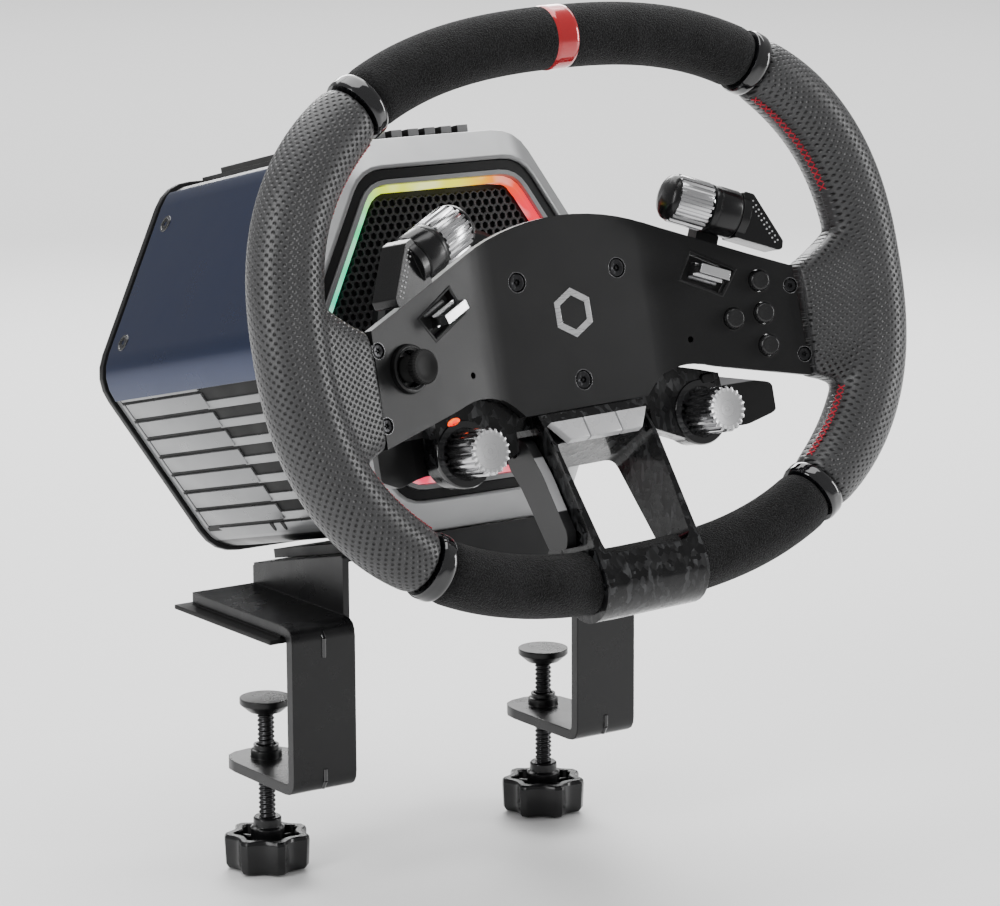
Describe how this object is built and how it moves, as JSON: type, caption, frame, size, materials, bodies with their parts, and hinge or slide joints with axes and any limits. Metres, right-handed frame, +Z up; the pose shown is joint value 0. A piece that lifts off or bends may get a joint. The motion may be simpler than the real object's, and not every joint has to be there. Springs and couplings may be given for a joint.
{
  "type": "racing wheel",
  "caption": "Desk-clamped direct-drive sim racing wheel: hexagonal base with a lit front ring, quick release, open-grip rim with buttons, encoders and paddles.",
  "frame": {"origin": "on the desk top, midway between the two clamp pads, under the base", "axes": "+X to the driver's right, +Y away from the driver, +Z up; the shaft points to -Y and 12.85 degrees up"},
  "size_m": [0.309, 0.2952, 0.3682],
  "materials": {
    "shell": "satin grey",
    "blue": "glossy dark blue",
    "black_plastic": "fine texture",
    "gloss_black": "gloss",
    "bezel": "satin light grey",
    "light": "lit diffuser",
    "copper": "enamelled windings",
    "bearing_steel": "ground",
    "board": "solder mask",
    "machined_metal": "turned",
    "anodised": "black anodised",
    "black_steel": "satin black",
    "carbon": "forged carbon, clear coat",
    "keys": "satin light grey",
    "rubber": "matte",
    "leather": "perforated, satin",
    "suede": "brushed suede",
    "red": "gloss"
  },
  "bodies": {
    "base": {"base_shell": "shell", "left_side_panel": "blue", "right_side_panel": "blue", "top_vent_cover": "black_plastic", "front_bezel": "bezel", "front_panel": "black_plastic", "lip_ring": "bezel", "light_ring": "light", "rear_cover": "black_plastic", "under_rail": "gloss_black", "motor_stator": "copper", "front_bearing": "bearing_steel", "rear_bearing": "bearing_steel", "control_board": "board", "left_bracket": "black_steel", "right_bracket": "black_steel", "left_foot_pad": "rubber", "right_foot_pad": "rubber"},
    "wheel": {"rotor_shaft": "machined_metal", "quick_release": "anodised", "wheel_housing": "black_plastic", "faceplate": "anodised", "hub_screws": "black_steel", "rim_core": "gloss_black", "left_grip": "leather", "right_grip": "leather", "top_suede": "suede", "bottom_suede": "suede", "top_marker": "red", "carbon_spoke": "carbon"},
    "key_left": {"left_key": "keys"},
    "key_middle": {"middle_key": "keys"},
    "key_right": {"right_key": "keys"},
    "push_oval": {"pod_button": "keys"},
    "push_1": {"button_1": "black_plastic"},
    "push_2": {"button_2": "black_plastic"},
    "push_3": {"button_3": "black_plastic"},
    "push_4": {"button_4": "black_plastic"},
    "gimbal": {"stick_gimbal": "black_plastic"},
    "stick": {"thumbstick": "rubber"},
    "toggle_left": {"left_toggle": "machined_metal"},
    "toggle_right": {"right_toggle": "machined_metal"},
    "ring_left": {"left_encoder_ring": "machined_metal"},
    "ring_right": {"right_encoder_ring": "machined_metal"},
    "lever_left": {"left_encoder_lever": "black_plastic"},
    "lever_right": {"right_encoder_lever": "black_plastic"},
    "knob_left": {"left_lower_knob": "machined_metal"},
    "knob_right": {"right_lower_knob": "machined_metal"},
    "shifter_left": {"left_shift_paddle": "machined_metal"},
    "shifter_right": {"right_shift_paddle": "machined_metal"},
    "analog_left": {"left_analog_paddle": "keys"},
    "analog_right": {"right_analog_paddle": "keys"},
    "clamp_foot_left": {"left_clamp_foot": "black_steel"},
    "clamp_foot_right": {"right_clamp_foot": "black_steel"},
    "clamp_screw_left": {"left_clamp_screw": "black_steel", "left_clamp_knob": "black_plastic"},
    "clamp_screw_right": {"right_clamp_screw": "black_steel", "right_clamp_knob": "black_plastic"}
  },
  "joints": [
    {"name": "wheel_turn", "type": "hinge", "parent": "base", "child": "wheel", "pos_m": [0, -0.115, 0.141], "axis": [0, -0.975, 0.2224], "range_deg": [-541.85, 538.15]},
    {"name": "key_left_press", "type": "slide", "parent": "wheel", "child": "key_left", "axis": [0.0131, 0.8003, -0.5995], "range_m": [0, 0.001], "stiffness_N_per_m": 1500},
    {"name": "key_middle_press", "type": "slide", "parent": "wheel", "child": "key_middle", "axis": [0.0131, 0.8003, -0.5995], "range_m": [0, 0.001], "stiffness_N_per_m": 1500},
    {"name": "key_right_press", "type": "slide", "parent": "wheel", "child": "key_right", "axis": [0.0131, 0.8003, -0.5995], "range_m": [0, 0.001], "stiffness_N_per_m": 1500},
    {"name": "oval_press", "type": "slide", "parent": "wheel", "child": "push_oval", "axis": [0, 0.975, -0.2224], "range_m": [0, 0.0008], "stiffness_N_per_m": 1500},
    {"name": "press_1", "type": "slide", "parent": "wheel", "child": "push_1", "axis": [0.2018, 0.9563, -0.2115], "range_m": [0, 0.0012], "stiffness_N_per_m": 1500},
    {"name": "press_2", "type": "slide", "parent": "wheel", "child": "push_2", "axis": [0.2018, 0.9563, -0.2115], "range_m": [0, 0.0012], "stiffness_N_per_m": 1500},
    {"name": "press_3", "type": "slide", "parent": "wheel", "child": "push_3", "axis": [0.2018, 0.9563, -0.2115], "range_m": [0, 0.0012], "stiffness_N_per_m": 1500},
    {"name": "press_4", "type": "slide", "parent": "wheel", "child": "push_4", "axis": [0.2018, 0.9563, -0.2115], "range_m": [0, 0.0012], "stiffness_N_per_m": 1500},
    {"name": "stick_up_down", "type": "hinge", "parent": "wheel", "child": "gimbal", "pos_m": [-0.08724, -0.12354, 0.12713], "axis": [0.9789, 0.2039, -0.0141], "range_deg": [-20, 20], "stiffness_Nm_per_rad": 0.02},
    {"name": "stick_left_right", "type": "hinge", "parent": "gimbal", "child": "stick", "pos_m": [-0.08724, -0.12354, 0.12713], "axis": [-0.0323, 0.2223, 0.9744], "range_deg": [-20, 20], "stiffness_Nm_per_rad": 0.02},
    {"name": "toggle_left_tip", "type": "hinge", "parent": "wheel", "child": "toggle_left", "pos_m": [-0.06658, -0.11214, 0.1445], "axis": [0.8899, 0.2741, 0.3646], "range_deg": [-12, 12], "stiffness_Nm_per_rad": 0.1},
    {"name": "toggle_right_tip", "type": "hinge", "parent": "wheel", "child": "toggle_right", "pos_m": [0.06618, -0.11119, 0.14869], "axis": [0.9149, -0.2611, -0.3078], "range_deg": [-12, 12], "stiffness_Nm_per_rad": 0.1},
    {"name": "ring_left_turn", "type": "hinge", "parent": "wheel", "child": "ring_left", "pos_m": [-0.06162, -0.11375, 0.1751], "axis": [-0.8899, -0.2741, -0.3646], "continuous": true},
    {"name": "ring_right_turn", "type": "hinge", "parent": "wheel", "child": "ring_right", "pos_m": [0.05933, -0.11288, 0.17891], "axis": [0.9149, -0.2611, -0.3078], "continuous": true},
    {"name": "lever_left_tip", "type": "hinge", "parent": "wheel", "child": "lever_left", "pos_m": [-0.0812, -0.11978, 0.16708], "axis": [-0.8899, -0.2741, -0.3646], "range_deg": [-15, 15], "stiffness_Nm_per_rad": 0.15},
    {"name": "lever_right_tip", "type": "hinge", "parent": "wheel", "child": "lever_right", "pos_m": [0.07946, -0.11863, 0.17214], "axis": [0.9149, -0.2611, -0.3078], "range_deg": [-15, 15], "stiffness_Nm_per_rad": 0.15},
    {"name": "knob_left_turn", "type": "hinge", "parent": "wheel", "child": "knob_left", "pos_m": [-0.05669, -0.13119, 0.09253], "axis": [0, -0.975, 0.2224], "continuous": true},
    {"name": "knob_right_turn", "type": "hinge", "parent": "wheel", "child": "knob_right", "pos_m": [0.05985, -0.13035, 0.0962], "axis": [0, -0.975, 0.2224], "continuous": true},
    {"name": "shift_left_pull", "type": "hinge", "parent": "wheel", "child": "shifter_left", "pos_m": [-0.03871, -0.10062, 0.09611], "axis": [-0.0323, 0.2223, 0.9744], "range_deg": [0, 5], "stiffness_Nm_per_rad": 2.5},
    {"name": "shift_right_pull", "type": "hinge", "parent": "wheel", "child": "shifter_right", "pos_m": [0.04125, -0.10005, 0.09863], "axis": [0.0323, -0.2223, -0.9744], "range_deg": [0, 5], "stiffness_Nm_per_rad": 2.5},
    {"name": "analog_left_pull", "type": "hinge", "parent": "wheel", "child": "analog_left", "pos_m": [-0.02631, -0.11409, 0.08656], "axis": [-0.9995, -0.0072, -0.0315], "range_deg": [0, 10], "stiffness_Nm_per_rad": 0.8},
    {"name": "analog_right_pull", "type": "hinge", "parent": "wheel", "child": "analog_right", "pos_m": [0.02966, -0.11368, 0.08832], "axis": [-0.9995, -0.0072, -0.0315], "range_deg": [0, 10], "stiffness_Nm_per_rad": 0.8},
    {"name": "clamp_left_travel", "type": "slide", "parent": "base", "child": "clamp_foot_left", "axis": [0, 0, 1], "range_m": [-0.008, 0.021]},
    {"name": "clamp_left_turn", "type": "hinge", "parent": "clamp_foot_left", "child": "clamp_screw_left", "pos_m": [-0.07175, 0.007, -0.07], "axis": [0, 0, 1], "range_deg": [-1441, 3781]},
    {"name": "clamp_right_travel", "type": "slide", "parent": "base", "child": "clamp_foot_right", "axis": [0, 0, 1], "range_m": [-0.008, 0.021]},
    {"name": "clamp_right_turn", "type": "hinge", "parent": "clamp_foot_right", "child": "clamp_screw_right", "pos_m": [0.07175, 0.007, -0.07], "axis": [0, 0, 1], "range_deg": [-1441, 3781]}
  ],
  "couplings": [
    {"joint": "clamp_left_turn", "follows": "clamp_left_travel", "rad_per_m": 3141.6},
    {"joint": "clamp_right_turn", "follows": "clamp_right_travel", "rad_per_m": 3141.6}
  ]
}
